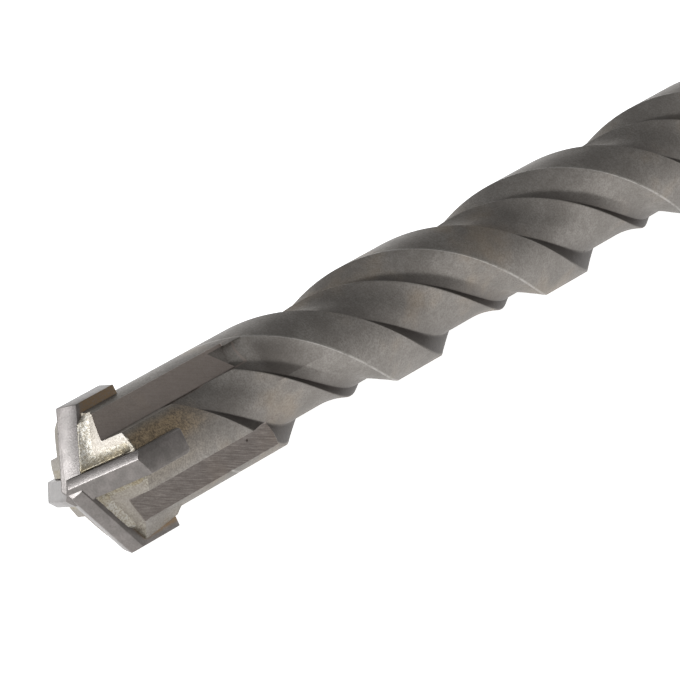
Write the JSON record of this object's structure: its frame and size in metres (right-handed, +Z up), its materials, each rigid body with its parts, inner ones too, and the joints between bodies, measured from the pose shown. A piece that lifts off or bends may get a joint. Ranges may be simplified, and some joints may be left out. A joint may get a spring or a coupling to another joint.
{
  "type": "masonry drill bit",
  "caption": "Long steel drill bit for masonry: straight-notched head with a brazed carbide cross tip, twin-land spiral flutes and a slotted round shank for a hammer drill's chuck.",
  "frame": {"origin": "on the ground under the middle of the bit's length", "axes": "+X along the bit from the tip to the shank, +Z up as it lies at rest"},
  "size_m": [0.21, 0.0132, 0.0132],
  "materials": {
    "blasted_steel": "blasted and oiled, warm grey, golden brown heat and braze tint round the tip",
    "ground_carbide": "ground carbide facets, dark grey with bright edges"
  },
  "bodies": {
    "root": {"drill_body": "blasted_steel", "carbide_cross_tip": "ground_carbide"}
  },
  "joints": []
}
